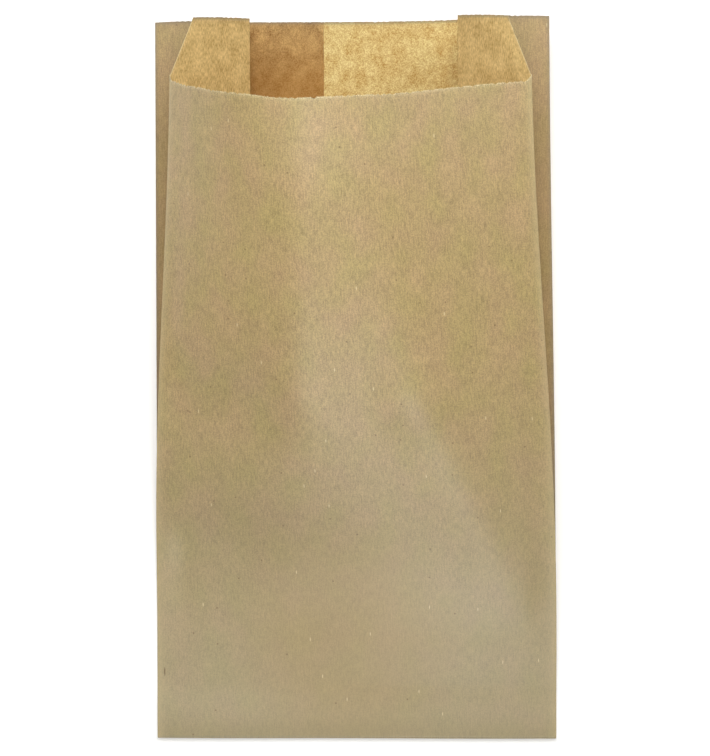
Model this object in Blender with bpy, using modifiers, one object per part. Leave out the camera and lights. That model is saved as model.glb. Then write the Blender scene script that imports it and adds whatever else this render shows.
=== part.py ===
"""Side-gusseted lunch bag of kraft paper, lying on its back with its mouth sprung open.

The whole bag is one sheet. Across the bag the sheet is followed from the inner edge of the lap seam
through the left side of the back panel, the left gusset, the front panel, the right gusset and the right
side of the back panel to the outer edge of the lap. Along the bag it is followed from the end of the
glued bottom flap, round the bottom fold and up to the mouth. The surface is lofted between sections that
differ at every station, flat at the bottom and open at the mouth, and is then given its thickness.

Units are metres: +X across the width, +Y from the bottom fold to the mouth, +Z up from the table.
"""

import math
from dataclasses import dataclass

import bpy
import numpy as np

# Flat sizes of the bag
PANEL_WIDTH = 0.150
BAG_LENGTH = 0.269
LEFT_LEAF = 0.0378
RIGHT_LEAF = 0.0350
PAPER = 0.00012
PLY_GAP = 0.00013

# Lap seam in the back panel: where its inner edge lies from the left crease, its width, and the strip
# in which the outer ply steps down under the inner one
LAP_INNER_EDGE = 0.0635
LAP_WIDTH = 0.030
LAP_STEP_WIDTH = 0.008
LAP_STEP_CLEARANCE = 0.004

# Knife cut at the mouth, repeated at the end of the flap: how much lower the front panel and its creases
# are cut than the back, and how wide the slanted cut is on the leaf and on the panel
LIP_STEP = 0.0225
LIP_AT_CREASE = 0.0207
SLANT_ON_LEAF = 0.0108
SLANT_ON_PANEL = 0.0017
TOOTH_PITCH = 0.0022
TOOTH_DEPTH = 0.0005

# Bottom flap: the length in which all plies are turned over, and the length they take to settle past it
FLAP_LENGTH = 0.008
SETTLE_LENGTH = 0.012
BOTTOM_SKEW = 0.0009

# How the bag has sprung open: leaf angles in degrees at the mouth, and where each side starts to open
LEFT_BACK_LEAF_ANGLE = 18.0
LEFT_FRONT_LEAF_ANGLE = 43.0
RIGHT_BACK_LEAF_ANGLE = 13.3
RIGHT_FRONT_LEAF_ANGLE = 44.5
LEFT_OPENING_START = 0.059
RIGHT_OPENING_START = 0.005
LEFT_OPENING_POWER = 1.0
RIGHT_OPENING_POWER = 1.25

# The back panel's right side curls up off the table, by this angle at the mouth
CURL_WIDTH = 0.075
CURL_ANGLE = 27.0

# Where the front panel is highest, from its left crease
CREST_AT_MOUTH = 0.0525
CREST_AT_BOTTOM = 0.090

# Fineness of the drawn surface
FOLD_STEPS = 3
BEND_STEPS = 4
PANEL_STEPS = 13
LEAF_STEPS = 2
CURL_STEPS = 7
LAP_STEPS = 2
INNER_PLY_STEPS = 3
SETTLE_STEPS = 3
EVEN_ROWS = 12
MOUTH_ROW_DEPTH = 0.003
STATION_STEP = 0.003
ARCH_POINTS = 97
HALVINGS = 40
TANGENT_PASSES = 4
STEEPEST_CLIMB = 0.98
FLATTEST_CURL = 1e-6

# Finish of unbleached kraft paper
KRAFT_COLOUR = (0.450, 0.342, 0.184, 1.0)
KRAFT_ROUGHNESS = 0.85

# Worked out from the sizes above
PLY_PITCH = PAPER + PLY_GAP
FOLD_RADIUS = 0.5 * PLY_PITCH
FLAP_PLIES = 5
TONGUE_LENGTH = FLAP_LENGTH + LIP_STEP
CLOCKWISE = -1.0
COUNTER_CLOCKWISE = 1.0


@dataclass
class Run:
    """A strip of the sheet between two lengthwise lines of one stretch of the section.

    On the panels start and end are distances in metres, on leaves and folds they are shares. The lips
    are how much lower than the back panel the mouth is cut there.
    """

    stretch: str
    start: float
    end: float
    steps: int
    start_lip: float = 0.0
    end_lip: float = 0.0
    toothed: bool = True


@dataclass
class Column:
    """One lengthwise line of the sheet; along is where it crosses its stretch."""

    stretch: str
    along: float
    lip: float
    tooth: float
    coarse: bool


def smooth(value, low, high):
    """Ease from 0 at low to 1 at high."""
    share = min(max((value - low) / (high - low), 0.0), 1.0)
    return share * share * (3.0 - 2.0 * share)


def opening(station, start, power):
    """How far a side has opened, from 0 where it leaves the flat bottom to 1 at the mouth."""
    share = min(max((station - start) / (BAG_LENGTH - start), 0.0), 1.0)
    return math.sin(0.5 * math.pi * share) ** power


def base_height(station):
    """Height of the back panel, which rides over the flap's plies, then the tongue, then the lap."""
    over_flap = (FLAP_PLIES - 1) * (1.0 - smooth(station, FLAP_LENGTH, FLAP_LENGTH + SETTLE_LENGTH))
    over_tongue = 1.0 - smooth(station, TONGUE_LENGTH, TONGUE_LENGTH + SETTLE_LENGTH)
    return PLY_PITCH * (1.0 + over_tongue + over_flap) + 0.5 * PAPER


def back_panel(distance, station):
    """Points and end slope of the back panel, at distances from the left crease.

    Its right side lies on an arc that curls up more and more towards the mouth.
    """
    flat_width = PANEL_WIDTH - CURL_WIDTH
    turn = math.radians(CURL_ANGLE) * opening(station, RIGHT_OPENING_START, RIGHT_OPENING_POWER)
    turn = max(turn, FLATTEST_CURL)
    radius = CURL_WIDTH / turn
    angle = np.clip(distance - flat_width, 0.0, None) / radius
    across = np.minimum(distance, flat_width) + radius * np.sin(angle) - 0.5 * PANEL_WIDTH
    return np.stack((across, radius * (1.0 - np.cos(angle))), axis=-1), turn


def on_fold(centre, turn, direction):
    """Point of a fold's arc where the sheet travels in a direction."""
    return centre + turn * FOLD_RADIUS * np.array((math.sin(direction), -math.cos(direction)))


def on_folds(centre, turn, first, last, shares):
    """Points round a fold while the direction of travel goes from first to last."""
    return [on_fold(centre, turn, first + (last - first) * share) for share in shares]


def between(start, end, shares):
    """Points of a straight leaf."""
    return [start + (end - start) * share for share in shares]


@dataclass
class Gusset:
    """Fold centres and directions of travel of one gusset, drawn as the left-hand one."""

    back: np.ndarray
    inner: np.ndarray
    front: np.ndarray
    entry: float
    back_leaf: float
    front_leaf: float

    def stretches(self, slope, along, side):
        """Points of the gusset's stretches; slope is how the front panel leaves the front fold."""
        back_start = on_fold(self.back, CLOCKWISE, self.back_leaf)
        back_end = on_fold(self.inner, COUNTER_CLOCKWISE, self.back_leaf)
        front_start = on_fold(self.inner, COUNTER_CLOCKWISE, self.front_leaf)
        front_end = on_fold(self.front, CLOCKWISE, self.front_leaf)
        turns = (
            ("_back_fold", self.back, CLOCKWISE, self.entry, self.back_leaf),
            ("_inner_fold", self.inner, COUNTER_CLOCKWISE, self.back_leaf, self.front_leaf),
            ("_front_fold", self.front, CLOCKWISE, self.front_leaf, slope),
        )
        lines = {
            side + name: on_folds(centre, turn, first, last, along[side + name])
            for name, centre, turn, first, last in turns
        }
        lines[side + "_back_leaf"] = between(back_start, back_end, along[side + "_back_leaf"])
        lines[side + "_front_leaf"] = between(front_start, front_end, along[side + "_front_leaf"])
        return {name: np.array(line) for name, line in lines.items()}


def gusset(edge, tilt, leaf, back_angle, front_angle):
    """A gusset that starts at the edge of the back panel, where the panel has a tilt."""
    flat = math.asin(PLY_PITCH / leaf)
    back = edge + FOLD_RADIUS * np.array((math.sin(tilt), math.cos(tilt)))
    inner = back + leaf * np.array((math.cos(flat + back_angle), math.sin(flat + back_angle)))
    front = inner + leaf * np.array((-math.cos(flat + front_angle), math.sin(flat + front_angle)))
    return Gusset(back, inner, front, math.pi - tilt, back_angle, math.pi - front_angle)


def arch(start, end, crest):
    """The front panel: a curve of the panel's own width that springs between two points.

    crest is the share of the chord at which it is highest. Returns the points, their distances along
    the curve and the slopes at both ends.
    """
    share = np.linspace(0.0, 1.0, ARCH_POINTS)
    skew = (0.5 - crest) / (crest * (1.0 - crest))
    bump = np.sin(math.pi * (share + skew * share * (1.0 - share)))
    chord = end - start
    width = float(np.hypot(*chord))
    normal = np.array((-chord[1], chord[0])) / width

    def curve(height):
        """Points and distances of the curve at a height."""
        points = start + share[:, None] * chord + height * bump[:, None] * normal
        steps = np.hypot(*np.diff(points, axis=0).T)
        return points, np.concatenate(((0.0,), np.cumsum(steps)))

    low = 0.0
    high = PANEL_WIDTH
    for _ in range(HALVINGS):
        middle = 0.5 * (low + high)
        if curve(middle)[1][-1] < PANEL_WIDTH:
            low = middle
        else:
            high = middle
    points, distances = curve(low)
    tilt = math.atan2(chord[1], chord[0])
    rise = low * math.pi / width
    return points, distances, tilt + math.atan(rise * (1.0 + skew)), math.atan(rise * (1.0 - skew)) - tilt


def front_panel(left_front, right_front, station):
    """The arch between the two front creases, tangent to both folds."""
    mirror = np.array((-1.0, 1.0))
    crest = (CREST_AT_BOTTOM + (CREST_AT_MOUTH - CREST_AT_BOTTOM) * station / BAG_LENGTH) / PANEL_WIDTH
    left_slope = 0.0
    right_slope = 0.0
    for _ in range(TANGENT_PASSES):
        start = on_fold(left_front, CLOCKWISE, left_slope)
        end = mirror * on_fold(right_front, CLOCKWISE, right_slope)
        points, distances, left_slope, right_slope = arch(start, end, crest)
    return points, distances, left_slope, right_slope


def section(station, along):
    """The sheet's cross-section at a station: for each stretch, the points at its places in along."""
    mirror = np.array((-1.0, 1.0))
    left_share = opening(station, LEFT_OPENING_START, LEFT_OPENING_POWER)
    right_share = opening(station, RIGHT_OPENING_START, RIGHT_OPENING_POWER)
    left_edge, _ = back_panel(0.0, station)
    right_edge, right_tilt = back_panel(PANEL_WIDTH, station)
    left = gusset(
        left_edge,
        0.0,
        LEFT_LEAF,
        left_share * math.radians(LEFT_BACK_LEAF_ANGLE),
        left_share * math.radians(LEFT_FRONT_LEAF_ANGLE),
    )
    right = gusset(
        mirror * right_edge,
        right_tilt,
        RIGHT_LEAF,
        right_share * math.radians(RIGHT_BACK_LEAF_ANGLE),
        right_share * math.radians(RIGHT_FRONT_LEAF_ANGLE),
    )
    points, distances, left_slope, right_slope = front_panel(left.front, right.front, station)
    lines = left.stretches(left_slope, along, "left")
    for name, line in right.stretches(right_slope, along, "right").items():
        lines[name] = line * mirror
    lines["front"] = np.stack([np.interp(along["front"], distances, points[:, i]) for i in (0, 1)], axis=-1)
    lines["inner_ply"], _ = back_panel(LAP_INNER_EDGE - along["inner_ply"], station)

    from_left = PANEL_WIDTH - along["outer_ply"]
    step_foot = LAP_INNER_EDGE + LAP_STEP_CLEARANCE
    sunk = np.clip((step_foot + LAP_STEP_WIDTH - from_left) / LAP_STEP_WIDTH, 0.0, 1.0)
    lines["outer_ply"], _ = back_panel(from_left, station)
    lines["outer_ply"][:, 1] -= PLY_PITCH * sunk
    return lines


def sheet_runs():
    """The runs of the sheet in order, from the lap's inner edge round to its outer edge."""
    left_slant = 1.0 - SLANT_ON_LEAF / LEFT_LEAF
    right_slant = 1.0 - SLANT_ON_LEAF / RIGHT_LEAF
    panel_right = PANEL_WIDTH - SLANT_ON_PANEL
    step_foot = PANEL_WIDTH - LAP_INNER_EDGE - LAP_STEP_CLEARANCE
    step_top = step_foot - LAP_STEP_WIDTH
    outer_edge = PANEL_WIDTH - LAP_INNER_EDGE + LAP_WIDTH
    return (
        Run("inner_ply", 0.0, LAP_INNER_EDGE, INNER_PLY_STEPS),
        Run("left_back_fold", 0.0, 1.0, FOLD_STEPS, toothed=False),
        Run("left_back_leaf", 0.0, 1.0, LEAF_STEPS),
        Run("left_inner_fold", 0.0, 1.0, FOLD_STEPS, toothed=False),
        Run("left_front_leaf", 0.0, left_slant, LEAF_STEPS),
        Run("left_front_leaf", left_slant, 1.0, 1, 0.0, LIP_AT_CREASE, toothed=False),
        Run("left_front_fold", 0.0, 1.0, FOLD_STEPS, LIP_AT_CREASE, LIP_AT_CREASE, toothed=False),
        Run("front", 0.0, SLANT_ON_PANEL, 1, LIP_AT_CREASE, LIP_STEP, toothed=False),
        Run("front", SLANT_ON_PANEL, panel_right, PANEL_STEPS, LIP_STEP, LIP_STEP),
        Run("front", panel_right, PANEL_WIDTH, 1, LIP_STEP, LIP_AT_CREASE, toothed=False),
        Run("right_front_fold", 1.0, 0.0, FOLD_STEPS, LIP_AT_CREASE, LIP_AT_CREASE, toothed=False),
        Run("right_front_leaf", 1.0, right_slant, 1, LIP_AT_CREASE, 0.0, toothed=False),
        Run("right_front_leaf", right_slant, 0.0, LEAF_STEPS),
        Run("right_inner_fold", 1.0, 0.0, FOLD_STEPS, toothed=False),
        Run("right_back_leaf", 1.0, 0.0, LEAF_STEPS),
        Run("right_back_fold", 1.0, 0.0, FOLD_STEPS, toothed=False),
        Run("outer_ply", 0.0, step_top, CURL_STEPS),
        Run("outer_ply", step_top, step_foot, 1),
        Run("outer_ply", step_foot, outer_edge, LAP_STEPS),
    )


def run_width(run):
    """Width of paper in a run, in metres."""
    width = abs(run.end - run.start)
    if "leaf" in run.stretch:
        width *= LEFT_LEAF if run.stretch.startswith("left") else RIGHT_LEAF
    return width


def sheet_columns():
    """Every lengthwise line of the sheet: two to a tooth, of which the coarse ones run the whole length."""
    columns = []
    runs = sheet_runs()
    for run in runs:
        parts = run.steps
        coarse = set(range(run.steps))
        if run.toothed:
            teeth = max(run.steps, round(run_width(run) / TOOTH_PITCH))
            parts = 2 * teeth
            coarse = {2 * round(teeth * step / run.steps) for step in range(run.steps)}
        for index in range(parts):
            share = index / parts
            along = run.start + (run.end - run.start) * share
            lip = run.start_lip + (run.end_lip - run.start_lip) * share
            tooth = TOOTH_DEPTH * (index % 2) if run.toothed else 0.0
            columns.append(Column(run.stretch, along, lip, tooth, index in coarse))
    columns.append(Column(runs[-1].stretch, runs[-1].end, runs[-1].end_lip, 0.0, True))
    return columns


def sheet_table(columns):
    """Positions of every lengthwise line at even stations.

    The stations keep their spacing along the paper, so a line that climbs falls short in Y.
    """
    stations = np.linspace(0.0, BAG_LENGTH, round(BAG_LENGTH / STATION_STEP) + 1)
    members = {}
    for index, column in enumerate(columns):
        members.setdefault(column.stretch, []).append(index)
    along = {name: np.array([columns[index].along for index in found]) for name, found in members.items()}
    table = np.zeros((len(columns), len(stations), 3))
    for step, station in enumerate(stations):
        lines = section(float(station), along)
        for name, found in members.items():
            table[found, step, 0] = lines[name][:, 0]
            table[found, step, 2] = lines[name][:, 1] + base_height(float(station))
    spacing = stations[1] - stations[0]
    moves = np.diff(table, axis=1)
    climb = np.hypot(moves[:, :, 0], moves[:, :, 2])
    climb = np.minimum(climb, STEEPEST_CLIMB * spacing)
    table[:, 1:, 1] = np.cumsum(np.sqrt(spacing**2 - climb**2), axis=1)
    return stations, table


def row_stations():
    """Stations of the crosswise lines above the bottom fold: those by the flap, then the even ones."""
    by_flap = [0.0]
    for end in (FLAP_LENGTH, TONGUE_LENGTH):
        by_flap += [end + SETTLE_LENGTH * step / SETTLE_STEPS for step in range(SETTLE_STEPS + 1)]
    by_flap = sorted(set(by_flap))
    first = by_flap[-1]
    last = BAG_LENGTH - MOUTH_ROW_DEPTH
    return by_flap, [first + (last - first) * step / EVEN_ROWS for step in range(1, EVEN_ROWS + 1)]


def sheet_rows(columns):
    """Points of every crosswise line, from the end of the flap to the mouth."""
    stations, table = sheet_table(columns)
    by_flap, free = row_stations()
    even_from = by_flap[-1]
    lips = np.array([column.lip for column in columns])
    teeth = np.array([column.tooth for column in columns])

    def at(places):
        """Points of all columns, each at its own place along the paper."""
        return np.array(
            [
                [np.interp(place, stations, line[:, axis]) for axis in range(3)]
                for place, line in zip(places, table)
            ]
        )

    bottom = at(np.zeros(len(columns)))
    pivot = (FLAP_PLIES - 0.5) * PLY_PITCH + 0.5 * PAPER
    arm = bottom[:, 2] - pivot

    def turned(angle, beyond):
        """The bottom section turned over about the bottom fold, then carried back under the bag."""
        points = bottom.copy()
        points[:, 1] = beyond - arm * math.sin(angle)
        points[:, 2] = pivot + arm * math.cos(angle)
        return points

    flap_ends = FLAP_LENGTH + lips
    rows = [turned(math.pi, flap_ends - teeth), turned(math.pi, flap_ends - MOUTH_ROW_DEPTH)]
    rows += [turned(math.pi * (1.0 - step / BEND_STEPS), 0.0) for step in range(BEND_STEPS)]
    rows += [at(np.full(len(columns), station)) for station in by_flap]
    shrink = (BAG_LENGTH - lips - even_from) / (BAG_LENGTH - even_from)
    rows += [at(even_from + (station - even_from) * shrink) for station in free]
    rows.append(at(BAG_LENGTH - lips - teeth))
    for row in rows:
        from_mouth = 1.0 - np.clip(row[:, 1] / BAG_LENGTH, 0.0, 1.0)
        row[:, 1] -= BOTTOM_SKEW * (row[:, 0] / PANEL_WIDTH + 0.5) * from_mouth
    return rows


def toothed_strip(inner, cut, coarse):
    """Triangles from a coarse line of the sheet out to the knife's toothed cut."""
    faces = []
    for near, far in zip(coarse, coarse[1:]):
        middle = (near + far + 1) // 2
        faces += [(inner[near], cut[index + 1], cut[index]) for index in range(near, middle)]
        faces.append((inner[near], inner[far], cut[middle]))
        faces += [(inner[far], cut[index + 1], cut[index]) for index in range(middle, far)]
    return faces


def sheet_mesh(name):
    """The open surface of the sheet, with fine teeth on its first and last crosswise lines only."""
    columns = sheet_columns()
    rows = sheet_rows(columns)
    coarse = [index for index, column in enumerate(columns) if column.coarse]
    points = []
    numbers = []
    for place, row in enumerate(rows):
        members = range(len(columns)) if place in (0, len(rows) - 1) else coarse
        numbers.append({index: len(points) + offset for offset, index in enumerate(members)})
        points += [tuple(row[index]) for index in members]
    faces = [tuple(reversed(face)) for face in toothed_strip(numbers[1], numbers[0], coarse)]
    for lower, upper in zip(numbers[1:-2], numbers[2:-1]):
        faces += [(lower[near], lower[far], upper[far], upper[near]) for near, far in zip(coarse, coarse[1:])]
    faces += toothed_strip(numbers[-2], numbers[-1], coarse)
    mesh = bpy.data.meshes.new(name)
    mesh.from_pydata(points, [], faces)
    return mesh


def centre_on_base(mesh):
    """Put the origin under the middle of the bag's box, on the table."""
    places = np.array([vertex.co[:] for vertex in mesh.vertices])
    low = places.min(axis=0)
    high = places.max(axis=0)
    for vertex in mesh.vertices:
        vertex.co.x -= 0.5 * (low[0] + high[0])
        vertex.co.y -= 0.5 * (low[1] + high[1])
        vertex.co.z -= low[2] - 0.5 * PAPER


def kraft_paper():
    """Unbleached kraft: warm brown, nearly matt."""
    material = bpy.data.materials.new("kraft_paper")
    material.use_nodes = True
    shader = material.node_tree.nodes["Principled BSDF"]
    shader.inputs["Base Color"].default_value = KRAFT_COLOUR
    shader.inputs["Roughness"].default_value = KRAFT_ROUGHNESS
    shader.inputs["Metallic"].default_value = 0.0
    return material


def build_bag():
    """Build the bag as one object in a collection of its own."""
    for old in list(bpy.data.objects):
        bpy.data.objects.remove(old, do_unlink=True)
    collection = bpy.data.collections.new("paper_lunch_bag")
    bpy.context.scene.collection.children.link(collection)
    mesh = sheet_mesh("paper_bag")
    centre_on_base(mesh)
    mesh.materials.append(kraft_paper())
    bag = bpy.data.objects.new("paper_bag", mesh)
    collection.objects.link(bag)
    wall = bag.modifiers.new("paper_thickness", "SOLIDIFY")
    wall.thickness = PAPER
    wall.offset = 0.0
    wall.use_even_offset = True
    wall.use_rim = True


build_bag()
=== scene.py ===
"""Looks of the brown kraft paper lunch bag: its folded sheet, its finishes, the floor, light and camera.

The bag is one sheet of unbleached kraft. It is followed across the bag from the inner edge of the lap seam
round both gussets to the outer edge of the lap, and along the bag from the end of the glued bottom flap
round the bottom fold to the knife-cut mouth. Units are metres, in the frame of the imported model.
"""

import logging
import math
from dataclasses import dataclass, field
from enum import Enum
from functools import cached_property

import bpy
import numpy as np
from bpy.types import Material, Mesh, Node, NodeSocket, NodeTree, Object, Scene
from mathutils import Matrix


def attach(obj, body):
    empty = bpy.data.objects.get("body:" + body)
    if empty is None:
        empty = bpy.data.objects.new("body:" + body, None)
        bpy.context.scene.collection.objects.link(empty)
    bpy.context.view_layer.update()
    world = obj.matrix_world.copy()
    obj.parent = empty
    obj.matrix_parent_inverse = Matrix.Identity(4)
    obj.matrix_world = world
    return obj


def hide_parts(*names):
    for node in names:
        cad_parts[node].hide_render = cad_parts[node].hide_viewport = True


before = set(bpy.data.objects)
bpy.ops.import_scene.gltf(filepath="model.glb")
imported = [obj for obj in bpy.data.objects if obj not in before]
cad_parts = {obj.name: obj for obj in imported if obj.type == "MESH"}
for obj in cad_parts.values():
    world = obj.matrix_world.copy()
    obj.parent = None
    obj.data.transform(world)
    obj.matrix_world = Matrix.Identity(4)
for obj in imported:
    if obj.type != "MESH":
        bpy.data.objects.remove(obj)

LOG = logging.getLogger("paper_bag")
MILLIMETRE = 0.001
CLOCKWISE = -1.0
COUNTER_CLOCKWISE = 1.0
MIRROR = np.array((-1.0, 1.0))
PLACE = "paper_place"
# Corners of a spike's four faces: its foot, then its three sides
SPIKE_FACES = ((0, 2, 1), (0, 1, 3), (1, 2, 3), (2, 0, 3))
# The Mix node gives several sockets one name, so the colour ones go by number
MIX_SHARE = 0
MIX_UNDER = 6
MIX_OVER = 7
MIX_RESULT = 2
# Nearly all values of a noise texture lie between these
NOISE_LOW = 0.3
NOISE_HIGH = 0.7

Socket = NodeSocket
Array = np.ndarray
Pair = tuple[float, float]
Values = dict[str | int, object]


def linear(colour: str) -> tuple[float, float, float, float]:
    """Turn an sRGB hex colour into linear light, by the standard curve.

    Args:
        colour: six hex digits, with or without a leading hash.

    Returns:
        Red, green, blue and an alpha of 1.
    """
    digits = colour.lstrip("#")
    shares = [int(digits[start : start + 2], 16) / 255.0 for start in (0, 2, 4)]
    light = [share / 12.92 if share <= 0.04045 else ((share + 0.055) / 1.055) ** 2.4 for share in shares]
    return (light[0], light[1], light[2], 1.0)


def smooth(value: float, low: float, high: float) -> float:
    """Ease from 0 at low to 1 at high."""
    share = min(max((value - low) / (high - low), 0.0), 1.0)
    return share * share * (3.0 - 2.0 * share)


@dataclass(frozen=True)
class Pen:
    """Draws a finish in the node tree of its material."""

    tree: NodeTree

    def add(self, kind: str, settings: Values | None = None, inputs: Values | None = None) -> Node:
        """Add a node with its settings, and fill or link its inputs.

        Args:
            kind: Blender's name for the shader node, past the word ShaderNode.
            settings: the node's own properties.
            inputs: for each input, by name or number, a value or the socket that feeds it.

        Returns:
            The new node.
        """
        node = self.tree.nodes.new("ShaderNode" + kind)
        for name, value in (settings or {}).items():
            setattr(node, name, value)
        for key, value in (inputs or {}).items():
            if isinstance(value, Socket):
                self.tree.links.new(value, node.inputs[key])
            else:
                node.inputs[key].default_value = value
        return node

    def mixed(self, where: Socket, under: object, over: object, most: float = 1.0) -> Socket:
        """Lay one colour over another.

        Args:
            where: where the upper colour shows, from 0 to 1.
            under: the lower colour, as a value or a socket.
            over: the upper colour, as a value or a socket.
            most: how much of the upper colour shows where it shows fully.

        Returns:
            The socket that gives the colour.
        """
        share = self.add("Math", {"operation": "MULTIPLY", "use_clamp": True}, {0: where, 1: most})
        layers = {MIX_SHARE: share.outputs[0], MIX_UNDER: under, MIX_OVER: over}
        return self.add("Mix", {"data_type": "RGBA"}, layers).outputs[MIX_RESULT]

    def summed(self, parts: list[tuple[Socket, float]], start: float = 0.0) -> Socket:
        """Add patterns up.

        Args:
            parts: each pattern with its weight.
            start: what they are added to.

        Returns:
            The socket that gives the sum.
        """
        total: object = start
        for value, weight in parts:
            terms = {0: value, 1: weight, 2: total}
            total = self.add("Math", {"operation": "MULTIPLY_ADD"}, terms).outputs[0]
        return total

    def marked(self, name: str) -> Socket:
        """Number that the sheet's mesh keeps on its points under a name."""
        return self.add("Attribute", {"attribute_name": name}).outputs["Fac"]

    @cached_property
    def place(self) -> Socket:
        """Place on the flat sheet in millimetres: X across the bag, Y along it from the bottom fold."""
        metres = self.add("Attribute", {"attribute_name": PLACE}).outputs["Vector"]
        return self.add("VectorMath", {"operation": "DIVIDE"}, {0: metres, 1: (MILLIMETRE,) * 3}).outputs[0]

    @cached_property
    def along(self) -> Socket:
        """Distance from the bottom fold on the flat sheet, in millimetres."""
        return self.add("SeparateXYZ", {}, {0: self.place}).outputs["Y"]


class Zone(Enum):
    """What a stretch of the section is, which decides how it is drawn."""

    INNER_PLY = "inner_ply"
    LEAF = "leaf"
    FOLD = "fold"
    FRONT = "front"
    OUTER_PLY = "outer_ply"


@dataclass(frozen=True)
class Pattern:
    """Flat sizes of the sheet, as the former folds it and the knife cuts it."""

    panel_width: float = 0.150
    bag_length: float = 0.269
    left_leaf: float = 0.0378
    right_leaf: float = 0.0350
    paper: float = 0.00012
    ply_gap: float = 0.00013
    lap_inner_edge: float = 0.0635
    lap_width: float = 0.030
    lap_step_width: float = 0.008
    lap_step_clearance: float = 0.004
    lip_step: float = 0.0225
    lip_at_crease: float = 0.0207
    slant_on_leaf: float = 0.0108
    slant_on_panel: float = 0.0017
    tooth_pitch: float = 0.0022
    tooth_depth: float = 0.0005
    flap_length: float = 0.008
    settle_length: float = 0.012
    bottom_skew: float = 0.0009
    flap_plies: int = 5

    @property
    def ply_pitch(self) -> float:
        """Distance between the middles of two plies that lie together."""
        return self.paper + self.ply_gap

    @property
    def fold_radius(self) -> float:
        """Radius of the middle line of a fold whose plies lie flat together."""
        return 0.5 * self.ply_pitch

    @property
    def tongue_length(self) -> float:
        """How far the front panel's lip reaches back under the bag."""
        return self.flap_length + self.lip_step

    @property
    def left_crease(self) -> float:
        """The front panel's start on the flat sheet, past the inner ply, two leaves and three folds."""
        return self.lap_inner_edge + 2.0 * self.left_leaf + 3.0 * math.pi * self.fold_radius


@dataclass(frozen=True)
class Opening:
    """How one side of the bag has sprung open.

    The lifts are how far its back and its front leaf rise at the mouth, in degrees. It starts to open at a
    distance from the bottom fold, blurred over its softness, and a higher power starts it more slowly.
    """

    lifts: Pair
    start: float
    power: float
    softness: float

    def share(self, station: float, length: float) -> float:
        """How far the side has opened, from 0 where it leaves the flat bottom to 1 at the mouth.

        Args:
            station: distance from the bottom fold.
            length: the mouth's distance from the bottom fold.

        Returns:
            The opening's share.
        """
        run = self.softness * math.log1p(math.exp((station - self.start) / self.softness))
        share = min(run / (length - self.start), 1.0)
        return math.sin(0.5 * math.pi * share) ** self.power


@dataclass(frozen=True)
class Spring:
    """How far the folded bag has sprung open, and where the front panel's crest runs."""

    left: Opening = Opening(lifts=(18.0, 43.0), start=0.059, power=1.0, softness=0.010)
    right: Opening = Opening(lifts=(13.3, 44.5), start=0.005, power=1.25, softness=0.001)
    curl_width: float = 0.075
    curl_angle: float = 27.0
    crest_at_mouth: float = 0.0525
    crest_at_bottom: float = 0.090


@dataclass(frozen=True)
class Bend:
    """A soft ridge, or a hollow where its height is below 0, along a line on the front panel.

    Places are millimetres from the left crease and from the bottom fold.
    """

    start: Pair
    end: Pair
    width: float
    height: float

    def rise(self, across: Array, along: float) -> Array:
        """Height that the bend adds at places on the panel, all in millimetres.

        Args:
            across: distances from the left crease.
            along: distance from the bottom fold.

        Returns:
            The added heights.
        """
        line = np.subtract(self.end, self.start)
        rows = np.full_like(across, along - self.start[1])
        from_start = np.stack((across - self.start[0], rows), axis=-1)
        share = np.clip(from_start @ line / max(float(line @ line), 1.0), 0.0, 1.0)
        away = from_start - share[:, None] * line
        return self.height * np.exp(-(away**2).sum(axis=-1) / self.width**2)


@dataclass(frozen=True)
class Handling:
    """What folding and handling left in the front panel: fuller sides beside its crest, and soft bends.

    The shoulders are half waves across the panel, the middle one a hollow. They are highest at a middle
    distance from the bottom fold and fade over their reach, in millimetres.
    """

    shoulder_waves: float = 3.0
    shoulder_height: float = 1.8
    shoulder_middle: float = 115.0
    shoulder_reach: float = 65.0
    bends: tuple[Bend, ...] = (
        # Left and right sides of the flat crest that comes down from the mouth
        Bend((60.0, 215.0), (54.0, 140.0), 15.0, 1.7),
        Bend((88.0, 215.0), (101.0, 137.0), 15.0, 1.4),
        # The crest widens into a ramp that runs down to the flat bottom on the right
        Bend((101.0, 137.0), (135.0, 60.0), 13.0, 1.2),
        Bend((62.0, 112.0), (84.0, 50.0), 28.0, 1.5),
        # Two hollows that start at the left crease and slope up towards the crest
        Bend((-10.0, 128.0), (30.0, 132.0), 17.0, -4.0),
        Bend((-16.0, 52.0), (24.0, 74.0), 18.0, -2.3),
    )
    edge_margin: float = 0.012

    def rise(self, across: Array, station: float, width: float) -> Array:
        """Height over the plain arch, in metres.

        Args:
            across: distances from the left crease.
            station: distance from the bottom fold.
            width: the panel's width.

        Returns:
            The added height, 0 at both creases.
        """
        share = across / width
        along = station / MILLIMETRE
        fullness = math.exp(-(((along - self.shoulder_middle) / self.shoulder_reach) ** 2))
        rise = self.shoulder_height * fullness * np.sin(self.shoulder_waves * math.pi * share)
        for bend in self.bends:
            rise = rise + bend.rise(across / MILLIMETRE, along)
        margin = np.clip(np.minimum(across, width - across) / self.edge_margin, 0.0, 1.0)
        return rise * MILLIMETRE * margin * margin * (3.0 - 2.0 * margin)


@dataclass(frozen=True)
class Gusset:
    """Fold centres and directions of travel of one gusset, drawn as the left-hand one."""

    back: Array
    inner: Array
    front: Array
    entry: float
    back_leaf: float
    front_leaf: float


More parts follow.
